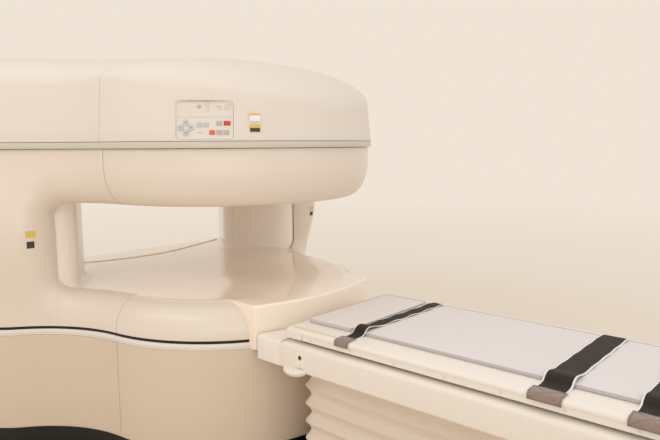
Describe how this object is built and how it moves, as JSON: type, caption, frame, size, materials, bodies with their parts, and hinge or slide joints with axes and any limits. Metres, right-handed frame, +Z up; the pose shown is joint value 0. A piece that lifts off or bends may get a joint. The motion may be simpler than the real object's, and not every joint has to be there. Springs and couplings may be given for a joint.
{
  "type": "open mri scanner with patient table",
  "caption": "Open C-shaped permanent-magnet scanner on two rear pillars, with a docked lifting patient table, bellows, sliding tabletop, padding and straps.",
  "frame": {"origin": "on the floor under the magnet's axis, the centre of the circle of front floor anchors", "axes": "+X to the foot of the patient table, +Z up, +Y to the right of someone who looks from the gantry's front into the gap"},
  "size_m": [4.1469, 2.4508, 1.915],
  "materials": {
    "ivory_gloss": "gloss",
    "ivory_satin": "satin",
    "band_grey": "satin",
    "belt_silver": "brushed",
    "seal_black": "matt",
    "kick_black": "matt",
    "steel": "painted",
    "magnet": "matt",
    "coil": "matt",
    "panel": "satin",
    "button_grey": "satin",
    "button_red": "satin",
    "button_orange": "satin",
    "button_beige": "satin",
    "frame_white": "painted",
    "table_white": "satin",
    "rail_steel": "brushed",
    "lift_steel": "satin",
    "base_dark": "matt",
    "bellows_cloth": "matt",
    "mat_cloth": "matt",
    "strap_cloth": "matt",
    "brass": "polished"
  },
  "bodies": {
    "gantry": {"toe_kick": "kick_black", "leveling_feet": "steel", "lower_yoke": "steel", "upper_yoke": "steel", "yoke_post_left": "steel", "yoke_post_right": "steel", "lower_magnet": "magnet", "upper_magnet": "magnet", "lower_pole_piece": "steel", "upper_pole_piece": "steel", "lower_gradient_coil": "coil", "upper_gradient_coil": "coil", "deck_panel": "ivory_gloss", "lower_cover_left": "ivory_gloss", "lower_cover_right": "ivory_gloss", "side_cover_left": "ivory_gloss", "side_cover_right": "ivory_gloss", "pillar_cover_left": "ivory_gloss", "pillar_cover_right": "ivory_gloss", "pillar_rear_left": "ivory_gloss", "pillar_rear_right": "ivory_gloss", "rear_cover_lower": "ivory_gloss", "rear_cover_upper": "ivory_gloss", "skirt_front": "ivory_gloss", "skirt_left": "ivory_gloss", "skirt_right": "ivory_gloss", "belt_trim": "belt_silver", "belt_seal": "seal_black", "bowl_cover": "ivory_gloss", "grey_band": "band_grey", "top_cover_front": "ivory_satin", "top_cover_left": "ivory_satin", "top_cover_right": "ivory_satin", "control_panel": "panel", "table_base": "base_dark", "lift_column": "lift_steel"},
    "lift_stage": {"lift_middle": "lift_steel"},
    "table": {"table_frame": "frame_white", "dock_block": "table_white", "lift_inner": "lift_steel", "coil_socket": "brass", "tabletop_rails": "rail_steel", "bellows": "bellows_cloth"},
    "tabletop": {"tabletop": "table_white", "head_mat": "mat_cloth", "main_mat": "mat_cloth", "strap_head": "strap_cloth", "strap_body": "strap_cloth", "strap_foot": "strap_cloth"},
    "up_button": {"up_button": "button_grey"},
    "down_button": {"down_button": "button_grey"},
    "left_button": {"left_button": "button_grey"},
    "right_button": {"right_button": "button_grey"},
    "lamp_button": {"lamp_button": "button_grey"},
    "fan_button": {"fan_button": "button_grey"},
    "grey_button": {"grey_button": "button_beige"},
    "red_button": {"red_button": "button_red"},
    "orange_button": {"orange_button": "button_orange"},
    "beige_button_1": {"beige_button_1": "button_beige"},
    "beige_button_2": {"beige_button_2": "button_beige"}
  },
  "joints": [
    {"name": "table_lift", "type": "slide", "parent": "gantry", "child": "table", "axis": [0, 0, 1], "range_m": [-0.23, 0.15], "deforming": ["bellows"]},
    {"name": "lift_stage_slide", "type": "slide", "parent": "gantry", "child": "lift_stage", "axis": [0, 0, 1], "range_m": [-0.115, 0.075]},
    {"name": "tabletop_slide", "type": "slide", "parent": "table", "child": "tabletop", "axis": [-1, 0, 0], "range_m": [0, 0.07]},
    {"name": "up_button_press", "type": "slide", "parent": "gantry", "child": "up_button", "axis": [-0.6966, 0.7139, -0.0712], "range_m": [0, 0.0015], "stiffness_N_per_m": 800, "springref_m": -0.001},
    {"name": "down_button_press", "type": "slide", "parent": "gantry", "child": "down_button", "axis": [-0.6966, 0.7139, -0.0712], "range_m": [0, 0.0015], "stiffness_N_per_m": 800, "springref_m": -0.001},
    {"name": "left_button_press", "type": "slide", "parent": "gantry", "child": "left_button", "axis": [-0.6966, 0.7139, -0.0712], "range_m": [0, 0.0015], "stiffness_N_per_m": 800, "springref_m": -0.001},
    {"name": "right_button_press", "type": "slide", "parent": "gantry", "child": "right_button", "axis": [-0.6966, 0.7139, -0.0712], "range_m": [0, 0.0015], "stiffness_N_per_m": 800, "springref_m": -0.001},
    {"name": "lamp_button_press", "type": "slide", "parent": "gantry", "child": "lamp_button", "axis": [-0.6966, 0.7139, -0.0712], "range_m": [0, 0.0015], "stiffness_N_per_m": 800, "springref_m": -0.001},
    {"name": "fan_button_press", "type": "slide", "parent": "gantry", "child": "fan_button", "axis": [-0.6966, 0.7139, -0.0712], "range_m": [0, 0.0015], "stiffness_N_per_m": 800, "springref_m": -0.001},
    {"name": "grey_button_press", "type": "slide", "parent": "gantry", "child": "grey_button", "axis": [-0.6966, 0.7139, -0.0712], "range_m": [0, 0.0015], "stiffness_N_per_m": 800, "springref_m": -0.001},
    {"name": "red_button_press", "type": "slide", "parent": "gantry", "child": "red_button", "axis": [-0.6966, 0.7139, -0.0712], "range_m": [0, 0.0015], "stiffness_N_per_m": 800, "springref_m": -0.001},
    {"name": "orange_button_press", "type": "slide", "parent": "gantry", "child": "orange_button", "axis": [-0.6966, 0.7139, -0.0712], "range_m": [0, 0.0015], "stiffness_N_per_m": 800, "springref_m": -0.001},
    {"name": "beige_button_1_press", "type": "slide", "parent": "gantry", "child": "beige_button_1", "axis": [-0.6966, 0.7139, -0.0712], "range_m": [0, 0.0015], "stiffness_N_per_m": 800, "springref_m": -0.001},
    {"name": "beige_button_2_press", "type": "slide", "parent": "gantry", "child": "beige_button_2", "axis": [-0.6966, 0.7139, -0.0712], "range_m": [0, 0.0015], "stiffness_N_per_m": 800, "springref_m": -0.001}
  ],
  "couplings": [
    {"joint": "lift_stage_slide", "follows": "table_lift", "ratio": 0.5}
  ]
}
